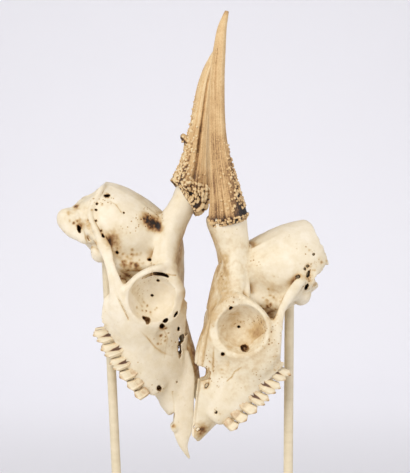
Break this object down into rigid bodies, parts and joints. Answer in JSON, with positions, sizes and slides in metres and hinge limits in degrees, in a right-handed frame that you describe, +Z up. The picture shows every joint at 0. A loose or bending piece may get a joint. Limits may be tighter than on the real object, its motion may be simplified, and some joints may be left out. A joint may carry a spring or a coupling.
{
  "type": "pair of mounted roe deer skulls",
  "caption": "Antlered deer skulls, muzzles down and beams crossed, each held on a slim rod over a flat board, as a still museum display.",
  "frame": {"origin": "centre of the underside of the base board, at the level of the surface that it stands on", "axes": "+X to the side that the second skull stands on, +Y from the viewed side to the back, +Z up"},
  "size_m": [0.24, 0.15, 0.4086],
  "materials": {
    "bone": "dry cream bone, dull, stained brown in pits and hollows",
    "antler": "rough pearled tan antler, smoother and paler to the tip",
    "stand": "plain pale cream wood, satin"
  },
  "bodies": {
    "root": {"braincase": "bone", "frontals_and_orbits": "bone", "upper_jaws_and_teeth": "bone", "zygomatic_arch_right": "bone", "zygomatic_arch_left": "bone", "pedicle_right": "bone", "pedicle_left": "bone", "nasals": "bone", "premaxilla_right": "bone", "premaxilla_left": "bone", "antler_right": "antler", "antler_left": "antler", "second_skull": "bone", "stand_rod_first": "stand", "stand_rod_second": "stand", "stand_base": "stand"}
  },
  "joints": []
}
